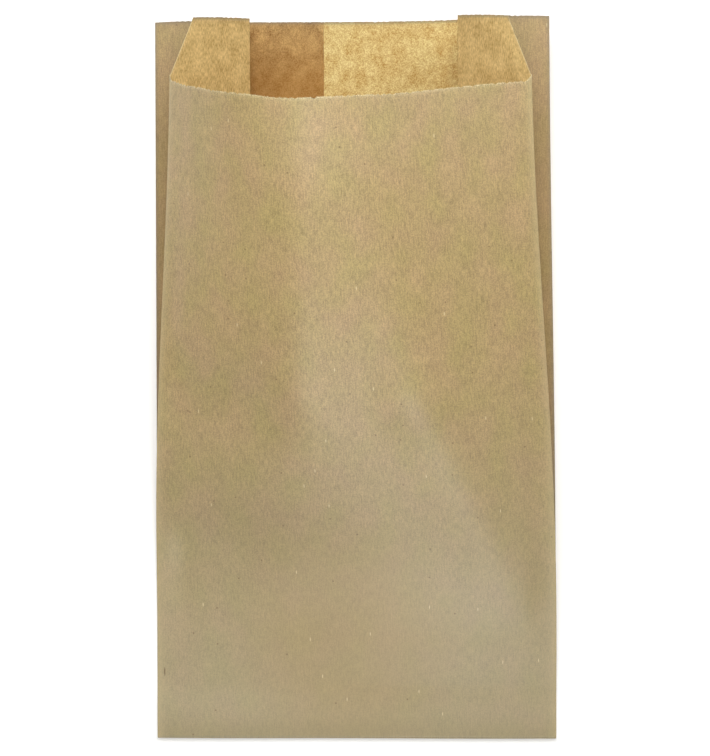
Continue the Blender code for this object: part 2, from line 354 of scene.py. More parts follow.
@dataclass(frozen=True)
class Section:
    """Cross-sections of the bag, which differ at every station between the bottom and the mouth."""

    pattern: Pattern = Pattern()
    spring: Spring = Spring()
    handling: Handling = Handling()
    arch_points: int = 257
    halvings: int = 40
    tangent_passes: int = 4
    flattest_curl: float = 1e-6

    def base_height(self, station: float) -> float:
        """Height of the back panel, which rides over the flap's plies, then the tongue, then the lap.

        Args:
            station: distance from the bottom fold.

        Returns:
            The height of the panel's middle line.
        """
        cut = self.pattern
        off_flap = smooth(station, cut.flap_length, cut.flap_length + cut.settle_length)
        off_tongue = smooth(station, cut.tongue_length, cut.tongue_length + cut.settle_length)
        plies = 1.0 + (1.0 - off_tongue) + (cut.flap_plies - 1) * (1.0 - off_flap)
        return cut.ply_pitch * plies + 0.5 * cut.paper

    def back_panel(self, distance: Array | float, station: float) -> tuple[Array, float]:
        """Points of the back panel, whose right side curls up off the table towards the mouth.

        Args:
            distance: distances from the left crease.
            station: distance from the bottom fold.

        Returns:
            The points and the panel's slope at its right edge.
        """
        spring = self.spring
        flat_width = self.pattern.panel_width - spring.curl_width
        share = spring.right.share(station, self.pattern.bag_length)
        turn = max(math.radians(spring.curl_angle) * share, self.flattest_curl)
        radius = spring.curl_width / turn
        angle = np.clip(distance - flat_width, 0.0, None) / radius
        half = 0.5 * self.pattern.panel_width
        across = np.minimum(distance, flat_width) + radius * np.sin(angle) - half
        return np.stack((across, radius * (1.0 - np.cos(angle))), axis=-1), turn

    def on_fold(self, centre: Array, turn: float, direction: float) -> Array:
        """Point of a fold's arc where the sheet travels in a direction."""
        out = np.array((math.sin(direction), -math.cos(direction)))
        return centre + turn * self.pattern.fold_radius * out

    def gusset(self, edge: Array, tilt: float, leaf: float, side: Opening, station: float) -> Gusset:
        """A gusset that starts at the edge of the back panel.

        Args:
            edge: the back panel's end point.
            tilt: the back panel's slope there.
            leaf: width of each leaf.
            side: how its side has sprung open.
            station: distance from the bottom fold.

        Returns:
            The gusset's fold centres and directions.
        """
        share = side.share(station, self.pattern.bag_length)
        back_angle, front_angle = (share * math.radians(lift) for lift in side.lifts)
        flat = math.asin(self.pattern.ply_pitch / leaf)
        back = edge + self.pattern.fold_radius * np.array((math.sin(tilt), math.cos(tilt)))
        inner = back + leaf * np.array((math.cos(flat + back_angle), math.sin(flat + back_angle)))
        front = inner + leaf * np.array((-math.cos(flat + front_angle), math.sin(flat + front_angle)))
        return Gusset(back, inner, front, math.pi - tilt, back_angle, math.pi - front_angle)

    def arch(self, start: Array, end: Array, crest: float) -> tuple[Array, Array, float, float]:
        """The front panel: a curve of the panel's own width that springs between two points.

        Args:
            start: the left end.
            end: the right end.
            crest: share of the chord at which the curve is highest.

        Returns:
            The points, their distances along the curve, and the slopes at both ends.
        """
        share = np.linspace(0.0, 1.0, self.arch_points)
        skew = (0.5 - crest) / (crest * (1.0 - crest))
        bump = np.sin(math.pi * (share + skew * share * (1.0 - share)))
        chord = end - start
        width = float(np.hypot(*chord))
        normal = np.array((-chord[1], chord[0])) / width
        low = 0.0
        high = self.pattern.panel_width
        for _ in range(self.halvings):
            middle = 0.5 * (low + high)
            points = start + share[:, None] * chord + middle * bump[:, None] * normal
            steps = np.hypot(*np.diff(points, axis=0).T)
            if steps.sum() < self.pattern.panel_width:
                low = middle
            else:
                high = middle
        distances = np.concatenate(((0.0,), np.cumsum(steps)))
        tilt = math.atan2(chord[1], chord[0])
        rise = low * math.pi / width
        left_slope = tilt + math.atan(rise * (1.0 + skew))
        right_slope = math.atan(rise * (1.0 - skew)) - tilt
        return points, distances, left_slope, right_slope

    def lines(self, station: float, along: dict[str, Array]) -> dict[str, Array]:
        """The section at a station.

        Args:
            station: distance from the bottom fold.
            along: for each stretch, the places on it: metres on the panels, shares on leaves and folds.

        Returns:
            For each stretch, its points as X and height over the back panel.
        """
        cut = self.pattern
        spring = self.spring
        left_edge, _ = self.back_panel(0.0, station)
        right_edge, right_tilt = self.back_panel(cut.panel_width, station)
        left = self.gusset(left_edge, 0.0, cut.left_leaf, spring.left, station)
        right = self.gusset(MIRROR * right_edge, right_tilt, cut.right_leaf, spring.right, station)
        place = station / cut.bag_length
        crest = spring.crest_at_bottom + (spring.crest_at_mouth - spring.crest_at_bottom) * place
        left_slope = 0.0
        right_slope = 0.0
        for _ in range(self.tangent_passes):
            start = self.on_fold(left.front, CLOCKWISE, left_slope)
            end = MIRROR * self.on_fold(right.front, CLOCKWISE, right_slope)
            points, distances, left_slope, right_slope = self.arch(start, end, crest / cut.panel_width)
        found = self.gusset_lines(left, left_slope, along, "left")
        for name, line in self.gusset_lines(right, right_slope, along, "right").items():
            found[name] = line * MIRROR
        found["front"] = np.stack(
            [np.interp(along["front"], distances, points[:, axis]) for axis in (0, 1)], axis=-1
        )
        found["front"][:, 1] += self.handling.rise(along["front"], station, cut.panel_width)
        found["inner_ply"], _ = self.back_panel(cut.lap_inner_edge - along["inner_ply"], station)
        from_left = cut.panel_width - along["outer_ply"]
        step_foot = cut.lap_inner_edge + cut.lap_step_clearance
        sunk = np.clip((step_foot + cut.lap_step_width - from_left) / cut.lap_step_width, 0.0, 1.0)
        found["outer_ply"], _ = self.back_panel(from_left, station)
        found["outer_ply"][:, 1] -= cut.ply_pitch * sunk
        return found

    def gusset_lines(
        self, gusset: Gusset, slope: float, along: dict[str, Array], side: str
    ) -> dict[str, Array]:
        """Points of a gusset's folds and leaves.

        Args:
            gusset: its fold centres and directions.
            slope: how the front panel leaves the front fold.
            along: the places wanted on each stretch.
            side: left or right.

        Returns:
            For each stretch of that side, its points.
        """
        folds = (
            ("_back_fold", gusset.back, CLOCKWISE, gusset.entry, gusset.back_leaf),
            ("_inner_fold", gusset.inner, COUNTER_CLOCKWISE, gusset.back_leaf, gusset.front_leaf),
            ("_front_fold", gusset.front, CLOCKWISE, gusset.front_leaf, slope),
        )
        found = {}
        for name, centre, turn, first, last in folds:
            directions = first + (last - first) * along[side + name]
            found[side + name] = np.array([self.on_fold(centre, turn, float(way)) for way in directions])
        leaves = (
            ("_back_leaf", gusset.back, CLOCKWISE, gusset.inner, COUNTER_CLOCKWISE, gusset.back_leaf),
            ("_front_leaf", gusset.inner, COUNTER_CLOCKWISE, gusset.front, CLOCKWISE, gusset.front_leaf),
        )
        for name, first, first_turn, last, last_turn, direction in leaves:
            start = self.on_fold(first, first_turn, direction)
            end = self.on_fold(last, last_turn, direction)
            found[side + name] = start + np.outer(along[side + name], end - start)
        return found


@dataclass(frozen=True)
class Run:
    """A strip of the sheet between two lengthwise lines of one stretch of the section.

    On the panels start and end are metres, on leaves and folds they are shares. The lips are how much
    lower than the back panel the mouth is cut at the strip's two sides. The teeth are how deep the knife's
    teeth are there, as a share of their full depth.
    """

    stretch: str
    zone: Zone
    start: float
    end: float
    width: float
    start_lip: float = 0.0
    end_lip: float = 0.0
    teeth: float = 1.0


@dataclass(frozen=True)
class Column:
    """One lengthwise line of the sheet: where it crosses its stretch, and how the knife cuts it."""

    stretch: str
    zone: Zone
    along: float
    across: float
    lip: float
    tooth: float


def keep_numbers(mesh: Mesh, name: str, values: Array) -> None:
    """Store one number on every point of a mesh, for a finish to read."""
    attribute = mesh.attributes.new(name, "FLOAT", "POINT")
    attribute.data.foreach_set("value", values.astype(np.float32).ravel())


def keep_places(mesh: Mesh, places: Array) -> None:
    """Store where every point of a mesh lies on the flat sheet, in metres across and along the bag."""
    attribute = mesh.attributes.new(PLACE, "FLOAT_VECTOR", "POINT")
    attribute.data.foreach_set("vector", places.astype(np.float32).ravel())


@dataclass
class BagSheet:
    """The folded sheet: its lengthwise lines, its crosswise rows, and the mesh between them.

    The cut depths are how far from a cut its closest rows lie. The flap shares are how far down the flap
    its other rows lie. The bands are how far the mark of a cut or a crease reaches. The teeth and their
    spreads are shares of the knife's full depth.
    """

    section: Section = field(default_factory=Section)
    fold_steps: int = 6
    bend_steps: int = 8
    row_step: float = 0.0034
    station_step: float = 0.003
    settle_steps: int = 5
    cut_depths: tuple[float, ...] = (0.003, 0.0013, 0.0005, 0.0)
    flap_shares: Pair = (0.66, 0.33)
    cut_band: float = 0.0004
    square_cut_band: float = 0.0009
    front_crease_band: float = 0.0020
    back_crease_band: float = 0.0009
    steepest_climb: float = 0.98
    sharp_angle: float = 60.0
    slant_teeth: float = 0.5
    tooth_spread: Pair = (0.1, 1.5)
    square_tooth_spread: Pair = (0.05, 0.6)
    seed: int = 7

    def runs(self) -> list[Run]:
        """The strips that make up the sheet.

        Returns:
            The strips in order, from the lap's inner edge round to its outer edge.
        """
        cut = self.section.pattern
        fold = math.pi * cut.fold_radius
        lip = cut.lip_step
        crease = cut.lip_at_crease
        slant = cut.slant_on_panel
        short = self.slant_teeth
        left_straight = cut.left_leaf - cut.slant_on_leaf
        right_straight = cut.right_leaf - cut.slant_on_leaf
        left_slant = left_straight / cut.left_leaf
        right_slant = right_straight / cut.right_leaf
        panel_right = cut.panel_width - slant
        outer_edge = cut.panel_width - cut.lap_inner_edge + cut.lap_width
        return [
            Run("inner_ply", Zone.INNER_PLY, 0.0, cut.lap_inner_edge, cut.lap_inner_edge),
            Run("left_back_fold", Zone.FOLD, 0.0, 1.0, fold),
            Run("left_back_leaf", Zone.LEAF, 0.0, 1.0, cut.left_leaf),
            Run("left_inner_fold", Zone.FOLD, 0.0, 1.0, fold),
            Run("left_front_leaf", Zone.LEAF, 0.0, left_slant, left_straight),
            Run("left_front_leaf", Zone.LEAF, left_slant, 1.0, cut.slant_on_leaf, 0.0, crease, short),
            Run("left_front_fold", Zone.FOLD, 0.0, 1.0, fold, crease, crease, 0.0),
            Run("front", Zone.FRONT, 0.0, slant, slant, crease, lip, short),
            Run("front", Zone.FRONT, slant, panel_right, panel_right - slant, lip, lip),
            Run("front", Zone.FRONT, panel_right, cut.panel_width, slant, lip, crease, short),
            Run("right_front_fold", Zone.FOLD, 1.0, 0.0, fold, crease, crease, 0.0),
            Run("right_front_leaf", Zone.LEAF, 1.0, right_slant, cut.slant_on_leaf, crease, 0.0, short),
            Run("right_front_leaf", Zone.LEAF, right_slant, 0.0, right_straight),
            Run("right_inner_fold", Zone.FOLD, 1.0, 0.0, fold),
            Run("right_back_leaf", Zone.LEAF, 1.0, 0.0, cut.right_leaf),
            Run("right_back_fold", Zone.FOLD, 1.0, 0.0, fold),
            Run("outer_ply", Zone.OUTER_PLY, 0.0, outer_edge, outer_edge),
        ]

    def columns(self) -> list[Column]:
        """Every lengthwise line of the sheet, two to a tooth of the knife. Most of its teeth are short.

        Returns:
            The lines in order, from the lap's inner edge round to its outer edge.
        """
        chance = np.random.default_rng(self.seed)
        cut = self.section.pattern
        found = []
        across = 0.0
        runs = self.runs()
        for run in runs:
            steps = 2 * max(1, round(run.width / cut.tooth_pitch))
            if run.zone is Zone.FOLD:
                steps = self.fold_steps
            for index in range(steps):
                share = index / steps
                along = run.start + (run.end - run.start) * share
                lip = run.start_lip + (run.end_lip - run.start_lip) * share
                least, most = self.tooth_spread if lip > 0.0 else self.square_tooth_spread
                tooth = run.teeth * cut.tooth_depth * (index % 2)
                tooth *= least + (most - least) * chance.random() ** 2
                found.append(Column(run.stretch, run.zone, along, across + run.width * share, lip, tooth))
            across += run.width
        last = runs[-1]
        found.append(Column(last.stretch, last.zone, last.end, across, last.end_lip, 0.0))
        return found

    def table(self, columns: list[Column]) -> tuple[Array, Array]:
        """Positions of every lengthwise line at even stations.

        The stations keep their spacing along the paper, so a line that climbs falls short in Y.

        Args:
            columns: the lengthwise lines.

        Returns:
            The stations, and for each line its points there.
        """
        length = self.section.pattern.bag_length
        stations = np.linspace(0.0, length, round(length / self.station_step) + 1)
        members: dict[str, list[int]] = {}
        for index, column in enumerate(columns):
            members.setdefault(column.stretch, []).append(index)
        along = {}
        for name, found in members.items():
            along[name] = np.array([columns[index].along for index in found])
        table = np.zeros((len(columns), len(stations), 3))
        for step, station in enumerate(stations):
            lines = self.section.lines(float(station), along)
            height = self.section.base_height(float(station))
            for name, found in members.items():
                table[found, step, 0] = lines[name][:, 0]
                table[found, step, 2] = lines[name][:, 1] + height
        spacing = stations[1] - stations[0]
        moves = np.diff(table, axis=1)
        climb = np.hypot(moves[:, :, 0], moves[:, :, 2])
        climb = np.minimum(climb, self.steepest_climb * spacing)
        table[:, 1:, 1] = np.cumsum(np.sqrt(spacing**2 - climb**2), axis=1)
        return stations, table

    def rows(self, columns: list[Column]) -> tuple[Array, Array, Array]:
        """Points of every crosswise row, from the end of the flap to the mouth.

        Args:
            columns: the lengthwise lines.

        Returns:
            The points, their places along the paper, and their depths below the nearer cut.
        """
        cut = self.section.pattern
        stations, table = self.table(columns)
        lips = np.array([column.lip for column in columns])
        teeth = np.array([column.tooth for column in columns])
        bottom = table[:, 0, :].copy()
        pivot = (cut.flap_plies - 0.5) * cut.ply_pitch + 0.5 * cut.paper
        arm = bottom[:, 2] - pivot
        found: list[tuple[Array, Array, Array]] = []

        def turned(angle: float, beyond: Array | float) -> Array:
            """The bottom section turned over about the bottom fold, then carried back under the bag.

            Args:
                angle: how far it is turned, in radians.
                beyond: how far it is carried back.

            Returns:
                The row's points.
            """
            row = bottom.copy()
            row[:, 1] = beyond - arm * math.sin(angle)
            row[:, 2] = pivot + arm * math.cos(angle)
            return row

        def at(place: Array) -> Array:
            """Points of all lengthwise lines, each at its own place along the paper.

            Args:
                place: for each line, its distance from the bottom fold.

            Returns:
                The row's points.
            """
            points = []
            for where, line in zip(place, table):
                points.append([np.interp(where, stations, line[:, axis]) for axis in range(3)])
            return np.array(points)

        flap_ends = cut.flap_length + lips
        for depth in reversed(self.cut_depths):
            end = flap_ends - depth - (teeth if depth == 0.0 else 0.0)
            found.append((turned(math.pi, end), -end, np.full(len(columns), depth)))
        whole = np.full(len(columns), cut.bag_length)
        for share in self.flap_shares:
            found.append((turned(math.pi, flap_ends * share), -flap_ends * share, whole))
        for step in range(self.bend_steps):
            bent = turned(math.pi * (1.0 - step / self.bend_steps), 0.0)
            found.append((bent, np.zeros_like(lips), whole))
        by_flap = {0.0}
        for end in (cut.flap_length, cut.tongue_length):
            for step in range(self.settle_steps + 1):
                by_flap.add(end + cut.settle_length * step / self.settle_steps)
        by_flap = sorted(by_flap)
        for station in by_flap:
            place = np.full(len(columns), station)
            found.append((at(place), place, cut.bag_length - place))
        first = by_flap[-1]
        last = cut.bag_length - self.cut_depths[0]
        shrink = (last - lips - first) / (last - first)
        count = round((last - first) / self.row_step)
        for step in range(1, count + 1):
            place = first + (last - first) * step / count * shrink
            found.append((at(place), place, cut.bag_length - lips - place))
        for depth in self.cut_depths[1:]:
            place = cut.bag_length - lips - depth - (teeth if depth == 0.0 else 0.0)
            found.append((at(place), place, np.full(len(columns), depth)))
        rows, places, depths = (np.array(part) for part in zip(*found))
        from_mouth = 1.0 - np.clip(rows[:, :, 1] / cut.bag_length, 0.0, 1.0)
        rows[:, :, 1] -= cut.bottom_skew * (rows[:, :, 0] / cut.panel_width + 0.5) * from_mouth
        return rows, places, depths

    def centred_rows(self, columns: list[Column]) -> tuple[Array, Array, Array]:
        """The rows, moved so that the bag lies on the table, centred as its solid is.

        Args:
            columns: the lengthwise lines.

        Returns:
            The points, their places along the paper, and their depths below the nearer cut.
        """
        rows, places, depths = self.rows(columns)
        low = rows.reshape(-1, 3).min(axis=0)
        high = rows.reshape(-1, 3).max(axis=0)
        rows[:, :, :2] -= 0.5 * (low[:2] + high[:2])
        rows[:, :, 2] -= low[2] - 0.5 * self.section.pattern.paper
        return rows, places, depths

    def nearness(self, columns: list[Column], folds: tuple[str, ...], band: float) -> Array:
        """How near each lengthwise line is to the nearest of some folds.

        Args:
            columns: the lengthwise lines.
            folds: the stretches that are those folds.
            band: how far from a fold the nearness fades.

        Returns:
            For each line 1 where it lies on a fold, and less the farther it lies from it.
        """
        across = np.array([column.across for column in columns])
        middles = [across[[column.stretch == fold for column in columns]].mean() for fold in folds]
        away = np.abs(across[:, None] - np.array(middles)).min(axis=-1)
        return np.exp(-((away / band) ** 2))

    def mesh(self, name: str) -> Mesh:
        """The sheet's open middle surface, with the facts that its finish needs on every point.

        Args:
            name: the mesh's name.

        Returns:
            The mesh, its faces pointing to the outside of the bag.
        """
        columns = self.columns()
        rows, places, depths = self.centred_rows(columns)
        count = len(columns)
        faces = []
        for row in range(len(rows) - 1):
            start = row * count
            for near in range(start, start + count - 1):
                faces.append((near, near + 1, near + count + 1, near + count))
        mesh = bpy.data.meshes.new(name)
        mesh.from_pydata(rows.reshape(-1, 3), [], faces)
        across = np.tile([column.across for column in columns], (len(rows), 1))
        keep_places(mesh, np.stack((across, places, np.zeros_like(across)), axis=-1))
        front_folds = ("left_front_fold", "right_front_fold")
        back_folds = ("left_back_fold", "right_back_fold")
        lap_width = self.section.pattern.lap_width
        by_column = {
            # Front creases carry pale wear and a painted highlight
            "front_crease": self.nearness(columns, front_folds, self.front_crease_band),
            # Back folds carry painted shade where the sheet turns under the bag
            "back_crease": self.nearness(columns, back_folds, self.back_crease_band),
            "leaf": [column.zone is Zone.LEAF for column in columns],
            "lap": [column.zone is Zone.INNER_PLY and column.along < lap_width for column in columns],
            "single_ply": [column.zone is Zone.OUTER_PLY for column in columns],
        }
        for mark, values in by_column.items():
            keep_numbers(mesh, mark, np.tile(values, (len(rows), 1)))
        # Square cuts carry a painted shadow line
        square = np.array([1.0 if column.lip == 0.0 else 0.0 for column in columns])
        keep_numbers(mesh, "square_cut", np.exp(-((depths / self.square_cut_band) ** 2)) * square)
        # Lowered cuts carry pale torn fibres and a painted highlight
        keep_numbers(mesh, "lowered_cut", np.exp(-depths / self.cut_band) * (1.0 - square))
        mesh.shade_smooth()
        return mesh

    def build(self, name: str, finishes: list[Material]) -> Object:
        """The sheet at its real thickness, outside, inside and cut edge each in its finish.

        Args:
            name: the piece's name.
            finishes: the materials of the outside, the inside and the cut edge.

        Returns:
            The piece.
        """
        mesh = self.mesh(name)
        for finish in finishes:
            mesh.materials.append(finish)
        sheet = bpy.data.objects.new(name, mesh)
        bpy.context.scene.collection.objects.link(sheet)
        wall = sheet.modifiers.new("paper_thickness", "SOLIDIFY")
        wall.thickness = self.section.pattern.paper
        wall.offset = 0.0
        wall.use_even_offset = False
        wall.use_rim = True
        wall.material_offset = 1
        wall.material_offset_rim = 2
        graph = bpy.context.evaluated_depsgraph_get()
        solid = bpy.data.meshes.new_from_object(sheet.evaluated_get(graph))
        sheet.modifiers.clear()
        sheet.data = solid
        solid.name = name
        bpy.data.meshes.remove(mesh)
        solid.shade_smooth()
        solid.set_sharp_from_angle(angle=math.radians(self.sharp_angle))
        LOG.info("%s: %d faces", name, len(solid.polygons))
        return sheet


@dataclass
class TornFibres:
    """Fibre ends that stand out of the lowered cut, where the knife tears the paper more than it cuts.

    The lean is how far they stray sideways and the lift how far they leave the sheet, as slopes.
    """

    sheet: BagSheet = field(default_factory=BagSheet)
    count: int = 260
    length: Pair = (0.00015, 0.0007)
    width: Pair = (0.00008, 0.00020)
    lean: float = 0.6
    lift: float = 0.35
    seed: int = 11

    def build(self, name: str, finish: Material) -> Object:
        """Small spikes of fibre, each a closed pyramid on three sides.

        Args:
            name: the piece's name.
            finish: the material.

        Returns:
            The piece.
        """
        chance = np.random.default_rng(self.seed)
        columns = self.sheet.columns()
        rows, places, _ = self.sheet.centred_rows(columns)
        lowered = [index for index, column in enumerate(columns) if column.lip > 0.0]
        points = []
        faces = []
        flat = []
        for _ in range(self.count):
            line = int(chance.choice(lowered[:-1]))
            share = chance.uniform()
            root = rows[-1, line] * (1.0 - share) + rows[-1, line + 1] * share
            onward = self.unit(rows[-1, line] - rows[-2, line])
            side = self.unit(rows[-1, line + 1] - rows[-1, line])
            out = np.cross(side, onward)
            lean = chance.normal(0.0, self.lean)
            lift = chance.normal(0.0, self.lift)
            tip = root + self.unit(onward + lean * side + lift * out) * chance.uniform(*self.length)
            half = 0.5 * chance.uniform(*self.width)
            foot = root - half * onward
            spike = [
                foot - half * side - half * out,
                foot + half * side - half * out,
                foot + half * out,
                tip,
            ]
            first = len(points)
            points += spike
            faces += [tuple(first + corner for corner in face) for face in SPIKE_FACES]
            flat += [(columns[line].across, places[-1, line], 0.0)] * len(spike)
        mesh = bpy.data.meshes.new(name)
        mesh.from_pydata([tuple(point) for point in points], [], faces)
        keep_places(mesh, np.array(flat))
        mesh.materials.append(finish)
        fibres = bpy.data.objects.new(name, mesh)
        bpy.context.scene.collection.objects.link(fibres)
        LOG.info("%s: %d faces", name, len(mesh.polygons))
        return fibres

    @staticmethod
    def unit(step: Array) -> Array:
        """The step at a length of 1."""
        return step / np.linalg.norm(step)


@dataclass(frozen=True)
class Grain:
    """Cloudy pattern in the paper.

    The patch is how wide and how long its patches are, in millimetres across and along the bag. The layer
    differs for each pattern, so that no two repeat each other. The detail is how many times the patches
    break up into finer ones.
    """

    patch: Pair
    layer: float
    detail: float = 1.0

    def draw(self, pen: Pen) -> Socket:
        """The pattern, from 0 to 1.

        Args:
            pen: what draws the finish.

        Returns:
            The socket that gives the pattern.
        """
        turns = (1.0 / self.patch[0], 1.0 / self.patch[1], 1.0)
        moved = {0: pen.place, 1: turns, 2: (self.layer, self.layer, self.layer)}
        scaled = pen.add("VectorMath", {"operation": "MULTIPLY_ADD"}, moved)
        texture = {"Vector": scaled.outputs[0], "Scale": 1.0, "Detail": self.detail}
        noise = pen.add("TexNoise", {}, texture)
        spread = {"Value": noise.outputs["Fac"], "From Min": NOISE_LOW, "From Max": NOISE_HIGH}
        return pen.add("MapRange", {}, spread).outputs[0]


@dataclass(frozen=True)
class Specks:
    """Scattered specks in the paper.

    The spacing is how far apart they lie across and along the bag, in millimetres, which also stretches
    them. The size is a speck's radius as a share of it, and the core is the share of the radius that is
    full. The amount is how many of the places for a speck hold one, from 0 to 1.
    """

    spacing: Pair
    size: float
    amount: float
    core: float = 0.5

    def draw(self, pen: Pen) -> Socket:
        """The specks: 1 on the core of a speck, 0 between them.

        Args:
            pen: what draws the finish.

        Returns:
            The socket that gives the specks.
        """
        turns = (1.0 / self.spacing[0], 1.0 / self.spacing[1], 1.0)
        scaled = pen.add("VectorMath", {"operation": "MULTIPLY"}, {0: pen.place, 1: turns})
        flat = {"voronoi_dimensions": "2D"}
        cells = pen.add("TexVoronoi", flat, {"Vector": scaled.outputs[0], "Scale": 1.0})
        away = cells.outputs["Distance"]
        edge = {"Value": away, "From Min": self.size, "From Max": self.core * self.size}
        spot = pen.add("MapRange", {}, edge)
        chance = pen.add("SeparateColor", {}, {0: cells.outputs["Color"]})
        limit = {0: chance.outputs[0], 1: self.amount}
        chosen = pen.add("Math", {"operation": "LESS_THAN"}, limit)
        both = {0: spot.outputs[0], 1: chosen.outputs[0]}
        return pen.add("Math", {"operation": "MULTIPLY"}, both).outputs[0]


@dataclass(frozen=True)
class Oval:
    """Soft oval on the front panel.

    Its middle is given from the left crease and from the bottom fold, and its size is its width and
    length, in millimetres. The core is the share of it that is full.
    """

    middle: Pair
    size: Pair
    core: float

    def draw(self, pen: Pen) -> Socket:
        """The oval: 1 in its core and 0 outside it.

        Args:
            pen: what draws the finish.

        Returns:
            The socket that gives the oval.
        """
        middle = (Pattern().left_crease / MILLIMETRE + self.middle[0], self.middle[1], 0.0)
        turns = (2.0 / self.size[0], 2.0 / self.size[1], 0.0)
        shift = pen.add("VectorMath", {"operation": "SUBTRACT"}, {0: pen.place, 1: middle})
        sized = {0: shift.outputs[0], 1: turns}
        scaled = pen.add("VectorMath", {"operation": "MULTIPLY"}, sized)
        away = pen.add("VectorMath", {"operation": "LENGTH"}, {0: scaled.outputs[0]})
        edge = {"Value": away.outputs["Value"], "From Min": 1.0, "From Max": self.core}
        return pen.add("MapRange", {"interpolation_type": "SMOOTHSTEP"}, edge).outputs[0]


@dataclass(frozen=True)
class Mark:
    """A colour that lies over the paper's own: its hex value, and how much of it shows at most."""

    colour: str
    most: float

    def over(self, pen: Pen, under: Socket, where: Socket) -> Socket:
        """The paper's colour with the mark on it.

        Args:
            pen: what draws the finish.
            under: the paper's colour.
            where: where the mark lies, from 0 to 1.

        Returns:
            The socket that gives the colour.
        """
        return pen.mixed(where, under, linear(self.colour), self.most)


@dataclass(frozen=True)
class KraftFinish:
    """What all finishes of kraft paper have: a name, a roughness, and a relief's height in metres."""

    name: str
    roughness: float
    relief: float

    def build(self) -> Material:
        """Draw the finish in millimetres on the flat sheet.

        Returns:
            The material.
        """
        material = bpy.data.materials.new(self.name)
        material.use_nodes = True
        pen = Pen(material.node_tree)
        shader = pen.tree.nodes["Principled BSDF"]
        shader.inputs["Roughness"].default_value = self.roughness
        colour, height = self.draw(pen)
        pen.tree.links.new(colour, shader.inputs["Base Color"])
        if height is not None:
            surface = {"Height": height, "Distance": self.relief, "Strength": 1.0}
            pen.tree.links.new(pen.add("Bump", {}, surface).outputs[0], shader.inputs["Normal"])
        return material

    def draw(self, pen: Pen) -> tuple[Socket, Socket | None]:
        """The finish's own pattern, which each kind of finish draws in its way.

        Args:
            pen: what draws the finish.

        Returns:
            The sockets that give the colour and, where the relief is drawn, its height.
        """
        raise NotImplementedError


